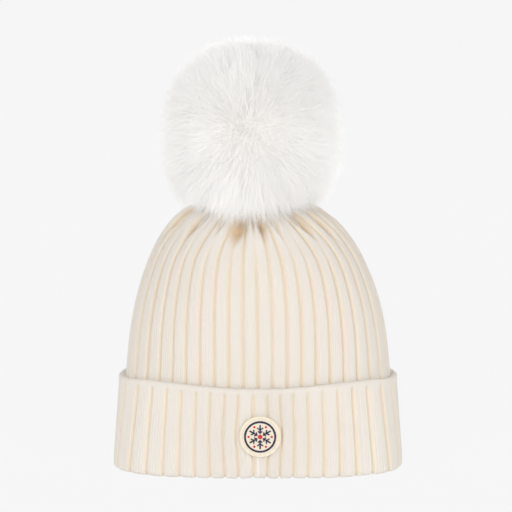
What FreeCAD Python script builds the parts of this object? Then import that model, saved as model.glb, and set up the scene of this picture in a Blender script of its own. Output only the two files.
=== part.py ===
"""A rib-knit beanie with a turned-up cuff, a round cloth badge and a snap-on fur pompom.

The hat stands on its hem, as it does when it is put down or filled by a head.
Origin: middle of the hem, on the surface it stands on.  +X is the wearer's left,
-Y is the front with the badge, +Z is up.  All sizes are millimetres.
"""
import FreeCAD, Part
import math
import os

Vector = FreeCAD.Vector

# ---- knit ---------------------------------------------------------------
KNIT = 3.5                      # thickness of one layer of rib knit
LAYER_GAP = 0.8                 # air between the crown's wall and the turned-up layer
CUFF_HEIGHT = 66.0
CUFF_LOW = (105.5, 53.0)        # half width, half depth at the fold
CUFF_TOP = (100.5, 51.5)        # half width, half depth at the free edge
CUFF_FOLD_ROUND = 3.0           # the fold's outer edge is rounded over this height
CUFF_ROLL_ROUND = 2.5           # and the free edge over this one

# The crown's outer surface above the cuff: height, half width, half depth over half width.
CROWN_STATIONS = [
    (92.0, 93.4, 0.490),
    (118.0, 88.8, 0.490),
    (142.0, 81.3, 0.495),
    (162.0, 72.0, 0.510),
    (178.0, 61.0, 0.540),
    (188.0, 49.5, 0.600),
    (193.5, 35.0, 0.720),
    (195.0, 20.0, 0.860),
]
CROWN_TOP = CROWN_STATIONS[-1][0]
GATHER_HOLE_R = 6.6             # what is left open where the crown is drawn up
LEAN = -4.5                     # the top of the crown leans this far towards -X
LEAN_POWER = 3.0                # and does most of it near the top

# ---- badge --------------------------------------------------------------
BADGE_X = 1.5
BADGE_Z = 31.5
BADGE_R = 15.0
BADGE_FELT = 1.6                # thickness of the felt
BADGE_BORDER_R = 1.1            # half the thickness of the overlocked border
BADGE_RING = (10.0, 11.5)       # inner and outer radius of the sewn ring
BADGE_THREAD = 0.7              # how far the embroidery stands off the felt
BADGE_STITCHES = 22
ARMS = 6
ARM_FROM, ARM_TO, ARM_WIDTH = 2.2, 8.8, 1.15
TWIGS = [(2.9, 2.0), (5.0, 2.7)]        # where a pair of twigs leaves its arm, and its length
TWIG_ANGLE = 55.0
DOT_AT, DOT_R, MIDDLE_R = 8.2, 0.85, 1.7

# ---- care label ---------------------------------------------------------
LABEL = (22.0, 0.8, 34.0)       # width, thickness, length
LABEL_TOP = 86.0
LABEL_BACK = 40.4               # depth of the face nearest the back wall
SEAM_WIDTH, SEAM_THICK = 5.0, 1.6
SEAM_FROM, SEAM_TO = 4.5, 176.0
SEAM_GAP = 0.4

# ---- snap fastener, all round the pompom's axis --------------------------
SOCKET_R = 6.2
SOCKET_LOW = CROWN_TOP + 0.1
SOCKET_TOP = CROWN_TOP + 3.3
SOCKET_FLOOR = 0.8
SOCKET_MOUTH_R = 3.45
GROOVE_R = 4.5
SPRING_R, SPRING_WIRE = 3.8, 0.4
STUD_HEAD_R, STUD_NECK_R = 3.0, 2.3
WASHER_R, WASHER_THICK = 13.0, 1.2
CAP_R, CAP_THICK = 7.0, 1.1
POST_R = 1.5
SNAP_GAP = 0.3                  # running clearance between the two halves

# ---- pompom -------------------------------------------------------------
PIVOT_Z = CROWN_TOP + 1.0       # the ball leans about this point of the gathered neck
FUR_R = 64.5
FUR_Z = 245.7                   # height of the ball's centre
FUR_WALL = 3.0
UNDERSIDE = 18.0                # degrees the underside rises, so that it can lean
UNDERSIDE_ROUND = 12.0          # the underside turns into the ball over this radius
BASE_DISC_R, BASE_DISC_THICK = 7.5, 1.9
BACKING_R, BACKING = 30.0, 1.6
NECK_IN, NECK_OUT = 9.35, 11.0
DRAWSTRING_R = 0.8


# ---- small tools --------------------------------------------------------
def save(shape, node):
    shape.exportStep("parts/%s.step" % node)


def group(solids):
    return Part.makeCompound(solids)


def lean(z):
    """Sideways place of the hat's middle line at a height."""
    rise = max(0.0, (z - CUFF_HEIGHT) / (CROWN_TOP - CUFF_HEIGHT))
    return LEAN * rise ** LEAN_POWER


def oval(half_width, half_depth, z):
    ellipse = Part.Ellipse(Vector(lean(z), 0, z), half_width, half_depth)
    return Part.Wire(ellipse.toShape())


def smooth(stations):
    return Part.makeLoft([oval(*station) for station in stations], True)


def banded(stations):
    """As smooth, with a straight run from each section to the next."""
    return Part.makeLoft([oval(*station) for station in stations], True, True)


def turned(outline):
    """Solid of revolution about the pompom's axis from (radius, height) points."""
    points = [Vector(LEAN + r, 0, z) for r, z in outline]
    face = Part.Face(Part.makePolygon(points + points[:1]))
    return face.revolve(Vector(LEAN, 0, 0), Vector(0, 0, 1), 360)


def ring(radius, wire, z):
    """A ring of wire or yarn round the pompom's axis."""
    return Part.makeTorus(radius, wire, Vector(LEAN, 0, z))


# ---- knit ---------------------------------------------------------------
def cuff_oval(z, inset):
    """Half width and half depth of the cuff's outer face at a height, less an inset."""
    share = z / CUFF_HEIGHT
    half = [low + (top - low) * share - inset for low, top in zip(CUFF_LOW, CUFF_TOP)]
    return half[0], half[1], z


def crown_stations():
    """Outer face of the crown from its lower edge to the gathered top."""
    inset = KNIT + LAYER_GAP
    low = [cuff_oval(z, inset) for z in (KNIT, CUFF_HEIGHT)]
    high = [(width, width * ratio, z) for z, width, ratio in CROWN_STATIONS]
    return low + high


def outline_normals(stations, side):
    """Outward and upward normal of the outline in one direction: 0 is width, 1 is depth."""
    points = [Vector(station[side], 0, station[2]) for station in stations]
    curve = Part.BSplineCurve()
    curve.interpolate(points)
    normals = []
    for point in points:
        tangent = curve.tangent(curve.parameter(point))[0]
        normals.append((tangent.z, -tangent.x))
    return normals


def inner_stations(depth):
    """Stations of a surface inside the crown's outer face, at one depth under it."""
    stations = crown_stations()
    across = outline_normals(stations, 0)
    deep = outline_normals(stations, 1)
    inner = []
    for (width, half_depth, z), (wn, wz), (dn, dz) in zip(stations, across, deep):
        drop = depth * (wz + dz) * 0.5
        inner.append((width - depth * wn, half_depth - depth * dn, z - drop))
    return inner


def tube_and_dome(stations):
    """A straight tube inside the cuff, and the rounded crown above it."""
    return banded(stations[:2]).fuse(smooth(stations[1:]))


def knit_crown():
    outer = tube_and_dome(crown_stations())
    stations = inner_stations(KNIT)
    width, depth, z = stations[0]
    stations[0] = (width, depth, z - 1.0)
    inner = tube_and_dome(stations)
    hole = Part.makeCylinder(GATHER_HOLE_R, 2 * KNIT, Vector(LEAN, 0, CROWN_TOP - 1.5 * KNIT))
    return outer.cut(inner).cut(hole)


def turn_up_cuff():
    """The layer folded up round the crown, with the fold that closes it at the hem."""
    fold = CUFF_FOLD_ROUND
    roll = CUFF_ROLL_ROUND
    rims = [
        (0.0, 0.55 * fold),
        (0.3 * fold, 0.15 * fold),
        (fold, 0.0),
        (CUFF_HEIGHT - roll, 0.0),
        (CUFF_HEIGHT - 0.3 * roll, 0.15 * roll),
        (CUFF_HEIGHT, 0.5 * roll),
    ]
    outer = banded([cuff_oval(z, inset) for z, inset in rims])
    inner = banded([cuff_oval(z, KNIT) for z in (KNIT, CUFF_HEIGHT + 1.0)])
    mouth_inset = 2 * KNIT + LAYER_GAP
    mouth = banded([cuff_oval(z, mouth_inset) for z in (-1.0, KNIT + 1.0)])
    return outer.cut(inner).cut(mouth)


def inside_back(z):
    """Depth of the crown's inner face at the middle of the back."""
    stations = inner_stations(KNIT)
    low, high = stations[:2]
    if z < high[2]:
        return low[1] + (high[1] - low[1]) * (z - low[2]) / (high[2] - low[2])
    curve = Part.BSplineCurve()
    curve.interpolate([Vector(0, depth, height) for _, depth, height in stations[1:]])
    plane = Part.Plane(Vector(0, 0, z), Vector(0, 0, 1))
    return curve.intersect(plane)[0][0].Y


def back_seam():
    """The ridge of joined edges down the inside of the back."""
    sections = []
    count = 19
    for i in range(count):
        z = SEAM_FROM + (SEAM_TO - SEAM_FROM) * i / (count - 1)
        back = inside_back(z) - SEAM_GAP
        left = lean(z) - SEAM_WIDTH / 2
        right = lean(z) + SEAM_WIDTH / 2
        corners = [(left, back), (right, back), (right, back - SEAM_THICK), (left, back - SEAM_THICK)]
        points = [Vector(x, y, z) for x, y in corners]
        sections.append(Part.makePolygon(points + points[:1]))
    return Part.makeLoft(sections, True)


def crown_gather_thread():
    """The doubled yarn that draws the top loops together."""
    yarn = 0.8
    radius = GATHER_HOLE_R - yarn - 0.15
    return group([ring(radius, yarn, CROWN_TOP - 0.9), ring(radius, yarn, CROWN_TOP - 2.6)])


# ---- badge --------------------------------------------------------------
def on_cuff(shape):
    """Move a piece built flat, facing +Z, onto the front of the cuff."""
    lean_back = math.degrees(math.atan2(CUFF_LOW[1] - CUFF_TOP[1], CUFF_HEIGHT))
    face = cuff_oval(BADGE_Z, 0.0)[1] + 0.1
    turn = FreeCAD.Rotation(Vector(1, 0, 0), 90 - lean_back)
    shape.Placement = FreeCAD.Placement(Vector(BADGE_X, -face, BADGE_Z), turn)
    return shape


def badge_base():
    return on_cuff(Part.makeCylinder(BADGE_R - 2 * BADGE_BORDER_R - 0.1, BADGE_FELT))


def badge_border():
    radius = BADGE_R - BADGE_BORDER_R
    return on_cuff(Part.makeTorus(radius, BADGE_BORDER_R, Vector(0, 0, BADGE_BORDER_R)))


def badge_ring():
    inner, outer = BADGE_RING
    base = Vector(0, 0, BADGE_FELT)
    band = Part.makeCylinder(outer, BADGE_THREAD, base)
    return on_cuff(band.cut(Part.makeCylinder(inner, BADGE_THREAD, base)))


def thread_bar(length, width, start, angle):
    """A bar of satin stitch lying on the felt, from a point, in a direction."""
    bar = Part.makeBox(length, width, BADGE_THREAD, Vector(0, -width / 2, BADGE_FELT))
    bar.rotate(Vector(0, 0, 0), Vector(0, 0, 1), angle)
    bar.translate(start)
    return bar


def badge_motif_navy():
    """A plain six-armed snowflake, each arm with two pairs of twigs."""
    arm = thread_bar(ARM_TO - ARM_FROM, ARM_WIDTH, Vector(ARM_FROM, 0, 0), 0)
    for at, length in TWIGS:
        for side in (-1, 1):
            arm = arm.fuse(thread_bar(length, ARM_WIDTH * 0.8, Vector(at, 0, 0), side * TWIG_ANGLE))
    arm = arm.removeSplitter()
    arms = []
    for i in range(ARMS):
        turned_arm = arm.copy()
        turned_arm.rotate(Vector(0, 0, 0), Vector(0, 0, 1), 90 + 360.0 * i / ARMS)
        arms.append(turned_arm)
    return on_cuff(group(arms))


def badge_motif_red():
    """The flake's round middle and a dot between each pair of arms."""
    dots = [Part.makeCylinder(MIDDLE_R, BADGE_THREAD + 0.1, Vector(0, 0, BADGE_FELT))]
    for i in range(ARMS):
        angle = math.radians(60 + 360.0 * i / ARMS)
        at = Vector(DOT_AT * math.cos(angle), DOT_AT * math.sin(angle), BADGE_FELT)
        dots.append(Part.makeCylinder(DOT_R, BADGE_THREAD, at))
    return on_cuff(group(dots))


def badge_stitches():
    """Loops that whip the badge's edge to the cuff, through the border and the knit."""
    loop, thread = 1.5, 0.25
    radius = BADGE_R - BADGE_BORDER_R
    loops = []
    for i in range(BADGE_STITCHES):
        angle = 2 * math.pi * (i + 0.5) / BADGE_STITCHES
        centre = Vector(radius * math.cos(angle), radius * math.sin(angle), BADGE_BORDER_R)
        along = Vector(-math.sin(angle), math.cos(angle), 0)
        loops.append(Part.makeTorus(loop, thread, centre, along))
    return on_cuff(group(loops))


# ---- care label ---------------------------------------------------------
def care_label():
    """The folded, blank label that hangs from its top edge inside the back."""
    width, thick, length = LABEL
    corner = Vector(lean(LABEL_TOP) - width / 2, LABEL_BACK - thick, LABEL_TOP - length)
    return Part.makeBox(width, thick, length, corner)


def care_label_stitches():
    """Bar stitches above the label, from the seam's face to the label's front face."""
    width, thick, _ = LABEL
    bars = []
    count = 6
    for i in range(count):
        x = lean(LABEL_TOP) + width * ((i + 0.5) / count - 0.5)
        depth = inside_back(LABEL_TOP + 1.0) - SEAM_GAP - 0.1 - (LABEL_BACK - thick)
        if abs(x - lean(LABEL_TOP)) < SEAM_WIDTH / 2 + 0.5:
            depth -= SEAM_THICK
        bars.append(Part.makeBox(1.6, depth, 0.6, Vector(x - 0.8, LABEL_BACK - thick, LABEL_TOP + 0.9)))
    return group(bars)


# ---- snap fastener ------------------------------------------------------
def anchor_washer():
    top = CROWN_TOP - KNIT - 0.1
    low = top - WASHER_THICK
    hole = POST_R + 0.3
    return turned([(hole, low), (WASHER_R, low), (WASHER_R, top), (hole, top)])


def snap_cap_inside():
    """Cap under the washer, with the post that goes up through the gathered hole."""
    top = CROWN_TOP - KNIT - WASHER_THICK - 0.2
    low = top - CAP_THICK
    post_top = SOCKET_LOW + SOCKET_FLOOR + 0.1
    outline = [
        (0, low),
        (CAP_R - 0.6, low),
        (CAP_R, low + 0.5),
        (CAP_R, top),
        (POST_R, top),
        (POST_R, post_top),
        (0, post_top),
    ]
    return turned(outline)


def snap_socket():
    """Ring with an inward lip, riveted on top of the crown."""
    floor = SOCKET_LOW + SOCKET_FLOOR
    lip = SOCKET_TOP - 0.6
    bore = POST_R + 0.1
    outline = [
        (bore, SOCKET_LOW),
        (SOCKET_R, SOCKET_LOW),
        (SOCKET_R, SOCKET_TOP - 0.5),
        (SOCKET_R - 0.5, SOCKET_TOP),
        (SOCKET_MOUTH_R, SOCKET_TOP),
        (SOCKET_MOUTH_R, lip),
        (GROOVE_R, lip),
        (GROOVE_R, floor),
        (bore, floor),
    ]
    return turned(outline)


def snap_spring():
    """Wire ring that lies loose in the socket's groove, drawn at its opened size."""
    middle = (SOCKET_LOW + SOCKET_FLOOR + SOCKET_TOP - 0.6) / 2
    return ring(SPRING_R, SPRING_WIRE, middle)


def stud_levels():
    """Heights of the stud: tip, widest, neck, underside of its flange, top of its flange."""
    tip = SOCKET_LOW + SOCKET_FLOOR + 0.1 + SNAP_GAP
    flange = SOCKET_TOP + SNAP_GAP
    return tip, tip + 0.6, tip + 1.5, flange, flange + 0.7


def snap_stud():
    tip, widest, neck, flange, top = stud_levels()
    outline = [
        (0, tip),
        (STUD_HEAD_R - 0.6, tip),
        (STUD_HEAD_R, widest),
        (STUD_NECK_R, neck),
        (STUD_NECK_R, flange),
        (SOCKET_R, flange),
        (SOCKET_R, top),
        (1.1, top),
        (1.1, neck),
        (0, neck),
    ]
    return turned(outline)


def pompom_base_disc():
    low = stud_levels()[4] + 0.1
    top = low + BASE_DISC_THICK
    return turned([(1.2, low), (BASE_DISC_R, low), (BASE_DISC_R, top), (1.2, top)])


def snap_stud_cap():
    """Cap above the disc, whose post holds the stud under it."""
    low = stud_levels()[4] + 0.1 + BASE_DISC_THICK + 0.1
    post_low = stud_levels()[2] + 0.1
    outline = [
        (0, post_low),
        (1.0, post_low),
        (1.0, low),
        (5.5, low),
        (5.5, low + 0.4),
        (4.5, low + 0.8),
        (0, low + 0.8),
    ]
    return turned(outline)


# ---- pompom -------------------------------------------------------------
def underside(r, above):
    """Height of the pompom's conical underside at a radius, moved up square to itself."""
    slope = math.radians(UNDERSIDE)
    return PIVOT_Z + r * math.tan(slope) + above / math.cos(slope)


def ball_over_cone(radius, above):
    """A ball about the fur's centre, less all that lies under the cone."""
    neck = NECK_OUT + 0.2
    wide = radius + 5.0
    high = FUR_Z + wide
    low = underside(neck, above)
    over = turned([(0, low), (neck, low), (wide, underside(wide, above)), (wide, high), (0, high)])
    ball = Part.makeSphere(radius, Vector(LEAN, 0, FUR_Z)).common(over)
    rim = max(ball.Edges, key=lambda edge: edge.BoundBox.DiagonalLength if edge.Closed else 0.0)
    return ball.makeFillet(UNDERSIDE_ROUND, [rim])


def fur_pile():
    """The outer envelope of the hair: a ball with a wall, open round its neck."""
    hole = Part.makeCylinder(NECK_OUT + 0.2, 20, Vector(LEAN, 0, PIVOT_Z))
    return ball_over_cone(FUR_R, 0).cut(ball_over_cone(FUR_R - FUR_WALL, FUR_WALL)).cut(hole)


def fur_backing():
    """The cloth that the hair grows from: a bag drawn into a neck under the ball."""
    centre = Vector(LEAN, 0, FUR_Z)
    low = underside(NECK_OUT, 0)
    neck = Part.makeCylinder(NECK_OUT, FUR_Z - low, Vector(LEAN, 0, low))
    bag = Part.makeSphere(BACKING_R, centre).fuse(neck)
    bag = bag.cut(Part.makeSphere(BACKING_R - BACKING, centre))
    return bag.cut(Part.makeCylinder(NECK_IN, FUR_Z - low, Vector(LEAN, 0, low)))


def fibre_fill():
    return Part.makeSphere(BACKING_R - BACKING - 0.3, Vector(LEAN, 0, FUR_Z))


def drawstring_thread():
    """Two turns of thread round the backing's neck."""
    radius = NECK_OUT + DRAWSTRING_R + 0.1
    low = underside(radius + DRAWSTRING_R, FUR_WALL) + DRAWSTRING_R + 0.5
    return group([ring(radius, DRAWSTRING_R, low), ring(radius, DRAWSTRING_R, low + 2 * DRAWSTRING_R + 0.1)])


NODES = [
    knit_crown, turn_up_cuff, back_seam, crown_gather_thread,
    badge_base, badge_border, badge_ring, badge_motif_navy, badge_motif_red, badge_stitches,
    care_label, care_label_stitches,
    anchor_washer, snap_cap_inside, snap_socket, snap_spring, snap_stud, pompom_base_disc, snap_stud_cap,
    fur_pile, fur_backing, fibre_fill, drawstring_thread,
]

os.makedirs("parts", exist_ok=True)
for make in NODES:
    save(make(), make.__name__)
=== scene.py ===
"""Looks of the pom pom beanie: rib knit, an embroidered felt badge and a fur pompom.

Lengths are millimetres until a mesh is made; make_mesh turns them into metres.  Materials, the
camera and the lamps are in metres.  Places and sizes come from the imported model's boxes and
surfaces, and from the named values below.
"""

import math

import bpy
import numpy as np
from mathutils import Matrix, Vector
from mathutils.bvhtree import BVHTree


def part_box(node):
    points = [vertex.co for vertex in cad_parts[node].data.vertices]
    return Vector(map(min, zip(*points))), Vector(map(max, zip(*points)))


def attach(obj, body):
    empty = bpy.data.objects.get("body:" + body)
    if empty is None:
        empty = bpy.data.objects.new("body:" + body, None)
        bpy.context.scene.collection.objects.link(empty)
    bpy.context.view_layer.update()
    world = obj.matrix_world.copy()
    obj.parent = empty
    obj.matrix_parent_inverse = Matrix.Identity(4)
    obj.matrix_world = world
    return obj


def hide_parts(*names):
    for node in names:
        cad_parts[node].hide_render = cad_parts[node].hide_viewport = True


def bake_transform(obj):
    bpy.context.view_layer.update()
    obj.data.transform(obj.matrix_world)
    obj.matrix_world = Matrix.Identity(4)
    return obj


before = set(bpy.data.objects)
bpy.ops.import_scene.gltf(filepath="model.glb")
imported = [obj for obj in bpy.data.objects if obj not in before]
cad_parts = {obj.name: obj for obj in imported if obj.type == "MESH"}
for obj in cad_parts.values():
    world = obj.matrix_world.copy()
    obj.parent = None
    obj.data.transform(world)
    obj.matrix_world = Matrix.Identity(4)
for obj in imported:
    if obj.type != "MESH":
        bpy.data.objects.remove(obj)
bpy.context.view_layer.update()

MM = 0.001
SEED = 395

# ---- knit ---------------------------------------------------------------
RIBS = 44
COLUMNS_PER_RIB = 22
KNIT_COLUMNS = RIBS * COLUMNS_PER_RIB
WALES_PER_RIB = 5
GROOVE_SHARE = 0.09             # share of a rib's pitch that each side of a groove takes
COURSE = 1.3                    # height of one row of stitches
WALL = 3.5                      # thickness of the knit
GROOVE_DEPTH = 2.1
GROOVE_WIDTH = 1.15             # half width of a groove where the knit isn't drawn in
WALE_DEPTH = 0.60               # how far the knit sinks between two wales of a rib
LINING_SHARE = 4                # one row of the lining's mesh for this many of the outside's
LINING_FOLDS = 1.25             # how much deeper the lining is folded, to stay under the outside
ROW_STEP = 3.0                  # between rows of the mesh, up the outside of the crown
CUFF_ROW_STEP = 1.5
HIDDEN_STEP = 9.0               # between the crown's rows where it is inside the cuff
CUFF_SPREAD = (-0.26, -0.19)    # of the cuff's ribs, as in RIB_SPREAD, at the hem and at the rim
GATHER_R = 6.9                  # radius of the hole that the top is drawn up to
UNEVEN = 0.06                   # how far, in ribs, the grooves wander from even places

# Folds drawn in under the pompom: rib, counted from the front towards +X, depth, width in ribs and
# lowest height.
FOLDS = [
    (-2.0, 8.0, 0.9, 162), (-1.0, 4.5, 0.3, 167), (0.0, 4.0, 0.28, 170), (1.1, 6.5, 0.6, 166),
    (3.0, 4.5, 0.35, 167), (-4.3, 4.0, 0.4, 169), (-7.2, 6.5, 0.42, 165), (-9.6, 5.0, 0.28, 163),
    (6.2, 7.5, 0.55, 166), (8.3, 5.0, 0.3, 163), (11.0, 6.0, 0.5, 168), (13.5, 6.0, 0.5, 166),
    (-12.0, 6.5, 0.5, 167), (-14.5, 6.0, 0.5, 168), (16.0, 6.0, 0.5, 168), (18.5, 6.5, 0.65, 166),
    (21.0, 6.0, 0.5, 164), (-17.0, 6.0, 0.5, 166), (-19.5, 6.0, 0.65, 166),
]
# The ribs keep their width over the front as the crown narrows, and run together at the top: height, spread.
RIB_SPREAD = [
    (0, -0.05), (66, -0.04), (101, 0.02), (128, 0.08), (145, 0.11), (156, 0.10), (166, 0.02),
    (174, -0.10), (182, -0.24), (190, -0.38), (195, -0.45),
]
PAINTED_LIGHT_REACH = (34.0, 8.0)         # distances from the ball where the painted light on the knit starts and is strongest
# How much shallower some grooves are than others.
CROWN_VARIETY, CUFF_VARIETY = 0.12, 0.3
FADED_GROOVES = 0.4             # share of the grooves that die out before they reach the top
# The hat lies a little flat: the power of its oval at some heights, where 2 is an ellipse.
OVAL_POWER = [(0, 3.0), (66, 2.2), (150, 2.0)]
RIM_REACH = 0.35                # how much further in the rim rolls at the sides, to lie on the crown
RIM_LIFT = 2.6                  # how much higher the rim stands towards the sides

# ---- fur ----------------------------------------------------------------
FUR_CORE = 0.79                 # the dense underfur ends at this share of the ball's radius
GUARD_HAIRS = 60000
UNDER_HAIRS = 34000
TUFTS = 850
HAIRS_PER_PIECE = 8800
TONE_SHARES = [0.5, 0.2, 0.3]
# Where the hair parts: direction from the ball's centre, how strongly it is combed away, and how far.
PARTINGS = [
    (-0.10, -1.0, -0.05, 0.55, 0.75), (0.75, 0.6, 0.15, 0.4, 0.7), (-0.8, 0.5, 0.0, 0.4, 0.7),
    (0.1, 0.2, 1.0, 0.35, 0.6), (0.9, -0.5, -0.35, 0.25, 0.5),
]

# ---- picture ------------------------------------------------------------
CAMERA_ELEVATION = 10.7         # degrees
CAMERA_DISTANCE = 2.6
SENSOR = 0.036
PICTURE_WIDTH = 0.3686          # metres across the object that the picture shows
PICTURE_CENTRE = Vector((-0.00144, 0.0, 0.1524))
FAR_AWAY = 100.0                # the camera sees this far
BOUNCES = 16                    # white fur is bright because light wanders through it
SKY = 0.55
FLOOR_GLOW = 0.898
FLOOR_HALF = 30000.0            # millimetres, as it is a mesh
KEY_POWER = 26.5
LAMP_SIZE = 1.3
LAMPS_AIM = Vector((0, 0, 0.12))
LAMPS = [                       # name, place and share of KEY_POWER
    ("key", (-1.2, -1.9, 1.1), 0.72),
    ("fill", (1.4, -1.8, 0.9), 0.58),
    ("low", (0.2, -2.4, 0.75), 0.3),
    ("back_left", (-1.6, 1.6, 1.2), 0.36),
    ("back_right", (1.6, 1.6, 1.2), 0.36),
]


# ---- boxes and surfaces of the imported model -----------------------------
def box_mm(node):
    low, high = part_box(node)
    return np.array(low) / MM, np.array(high) / MM


def surface_of(node):
    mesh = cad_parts[node].data
    corners = [v.co for v in mesh.vertices]
    return BVHTree.FromPolygons(corners, [p.vertices for p in mesh.polygons])


def outermost(surface, x, z, direction):
    """Distance from the point (x, 0, z) to the outside of a surface, in one direction."""
    origin = Vector((x, 0, z)) * MM
    hit = surface.ray_cast(origin + direction, -direction)[0]
    return (hit - origin).length / MM


def ovals_of(node, heights):
    """Middle, half width and half depth of a node's outside at some heights."""
    surface = surface_of(node)
    rows = []
    for z in heights:
        right = outermost(surface, 0, z, Vector((1, 0, 0)))
        left = outermost(surface, 0, z, Vector((-1, 0, 0)))
        middle = (right - left) / 2
        front = outermost(surface, middle, z, Vector((0, -1, 0)))
        rows.append((middle, (right + left) / 2, front))
    return np.array(rows).T


crown_low, crown_high = box_mm("knit_crown")
fur_low, fur_high = box_mm("fur_pile")
badge_low, badge_high = box_mm("badge_border")
BADGE = (badge_low + badge_high) / 2
BADGE_R = (badge_high[0] - badge_low[0]) / 2
CUFF_TOP = box_mm("turn_up_cuff")[1][2]
CROWN_TOP = crown_high[2]
AXIS_X = (fur_low[0] + fur_high[0]) / 2
FUR_R = (fur_high[0] - fur_low[0]) / 2
FUR_CENTRE = np.array([AXIS_X, 0.0, fur_high[2] - FUR_R])
CROWN_LEVELS = np.concatenate([np.linspace(140, CROWN_TOP - 12, 12), CROWN_TOP - np.geomspace(10, 0.15, 14)])
CROWN_OVALS = ovals_of("knit_crown", CROWN_LEVELS)


# ---- meshes -------------------------------------------------------------
def make_mesh(name, points, faces, materials, face_material=None, smooth=True):
    """A piece from points in millimetres and faces with equal numbers of corners."""
    points = np.asarray(points, np.float32).reshape(-1, 3) * MM
    faces = np.asarray(faces, np.int32)
    count, corners = faces.shape
    mesh = bpy.data.meshes.new(name)
    mesh.vertices.add(len(points))
    mesh.vertices.foreach_set("co", points.ravel())
    mesh.loops.add(count * corners)
    mesh.loops.foreach_set("vertex_index", faces.ravel())
    mesh.polygons.add(count)
    mesh.polygons.foreach_set("loop_start", np.arange(count, dtype=np.int32) * corners)
    mesh.polygons.foreach_set("use_smooth", np.full(count, smooth))
    for material in materials:
        mesh.materials.append(material)
    if face_material is not None:
        mesh.polygons.foreach_set("material_index", np.asarray(face_material, np.int32))
    mesh.update(calc_edges=True)
    piece = bpy.data.objects.new(name, mesh)
    bpy.context.scene.collection.objects.link(piece)
    return piece


def grid_faces(rows, columns, close_rows=False, close_columns=True):
    """Quads of a grid of points, row after row."""
    row = np.arange(rows if close_rows else rows - 1)
    column = np.arange(columns if close_columns else columns - 1)
    r, c = np.meshgrid(row, column, indexing="ij")
    r2, c2 = (r + 1) % rows, (c + 1) % columns
    quads = [r * columns + c, r * columns + c2, r2 * columns + c2, r2 * columns + c]
    return np.stack(quads, -1).reshape(-1, 4)


def grid_uv(mesh, name, u, v):
    """A UV map over a grid closed both ways: u and v have one row and one column more than it."""
    uv = np.stack([u, v], -1)
    corners = [uv[:-1, :-1], uv[:-1, 1:], uv[1:, 1:], uv[1:, :-1]]
    flat = np.stack(corners, 2).reshape(-1)
    mesh.uv_layers.new(name=name).data.foreach_set("uv", flat.astype(np.float32))


def point_values(mesh, name, values):
    mesh.attributes.new(name, "FLOAT", "POINT").data.foreach_set("value", values.astype(np.float32).ravel())


def finish_piece(piece, body, node=None):
    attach(piece, body)
    if node:
        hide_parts(node)
    return piece


def add_piece(name, parts, material, body, node):
    """A piece of one material from (points, faces) parts, which rides on a body and replaces a node."""
    return finish_piece(make_mesh(name, *joined(parts), [material]), body, node)


def joined(parts):
    """One list of points and one of faces from several."""
    points, faces, count = [], [], 0
    for some_points, some_faces in parts:
        some_points = some_points.reshape(-1, 3)
        points.append(some_points)
        faces.append(some_faces + count)
        count += len(some_points)
    return np.concatenate(points), np.concatenate(faces)


def round_angles(count):
    """Even angles once round, without the last, which is the first again."""
    return np.linspace(0, 2 * np.pi, count, endpoint=False)


def unit(vectors):
    return vectors / np.linalg.norm(vectors, axis=-1, keepdims=True)


def smoothstep(low, high, x):
    t = np.clip((x - low) / (high - low), 0, 1)
    return t * t * (3 - 2 * t)


# ---- materials ----------------------------------------------------------
class Nodes:
    """A material's node tree, with short ways to add and join nodes."""

    def __init__(self, name):
        self.material = bpy.data.materials.new(name)
        self.material.use_nodes = True
        self.tree = self.material.node_tree
        self.shader = self.tree.nodes["Principled BSDF"]

    def add(self, kind, **settings):
        node = self.tree.nodes.new(kind)
        for key, value in settings.items():
            setattr(node, key, value)
        return node

    def feed(self, socket, value):
        if isinstance(value, bpy.types.NodeSocket):
            self.tree.links.new(value, socket)
        else:
            socket.default_value = value

    def math(self, operation, a, b=0.0, c=0.0):
        node = self.add("ShaderNodeMath", operation=operation)
        for socket, value in zip(node.inputs, (a, b, c)):
            self.feed(socket, value)
        return node.outputs[0]

    def noise(self, scale, detail=3.0, roughness=0.5, vector=None):
        node = self.add("ShaderNodeTexNoise")
        self.feed(node.inputs["Scale"], scale)
        self.feed(node.inputs["Detail"], detail)
        self.feed(node.inputs["Roughness"], roughness)
        self.feed(node.inputs["Vector"], vector or self.place())
        return node.outputs["Fac"]

    def place(self):
        return self.add("ShaderNodeTexCoord").outputs["Object"]

    def attribute(self, name):
        return self.add("ShaderNodeAttribute", attribute_name=name).outputs["Fac"]

    def blend(self, share, low, high):
        node = self.add("ShaderNodeMix", data_type="RGBA")
        self.feed(node.inputs[0], share)
        self.feed(node.inputs[6], low)
        self.feed(node.inputs[7], high)
        return node.outputs[2]

    def bump(self, height, distance, strength=1.0, under=None):
        node = self.add("ShaderNodeBump")
        self.feed(node.inputs["Strength"], strength)
        self.feed(node.inputs["Distance"], distance)
        self.feed(node.inputs["Height"], height)
        if under is not None:
            self.feed(node.inputs["Normal"], under)
        return node.outputs[0]

    def set(self, **values):
        for key, value in values.items():
            self.feed(self.shader.inputs[key.replace("_", " ")], value)
        return self.material


def colour(red, green, blue):
    return (red, green, blue, 1.0)


KNIT_LIGHT = colour(0.912, 0.864, 0.816)
KNIT_PATCH = colour(0.898, 0.838, 0.760)
# Painted light on the knit near the ball, which lifts the shadow the ball casts there.
KNIT_PAINTED_LIGHT = colour(0.985, 0.950, 0.905)
# Painted shade down in the grooves.
KNIT_GROOVE_SHADE = colour(0.895, 0.760, 0.568)
# Painted shade between the stitches.
KNIT_STITCH_SHADE = colour(0.825, 0.728, 0.585)
# Painted shade in the folds under the pompom.
KNIT_FOLD_SHADE = colour(0.850, 0.600, 0.345)


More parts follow.
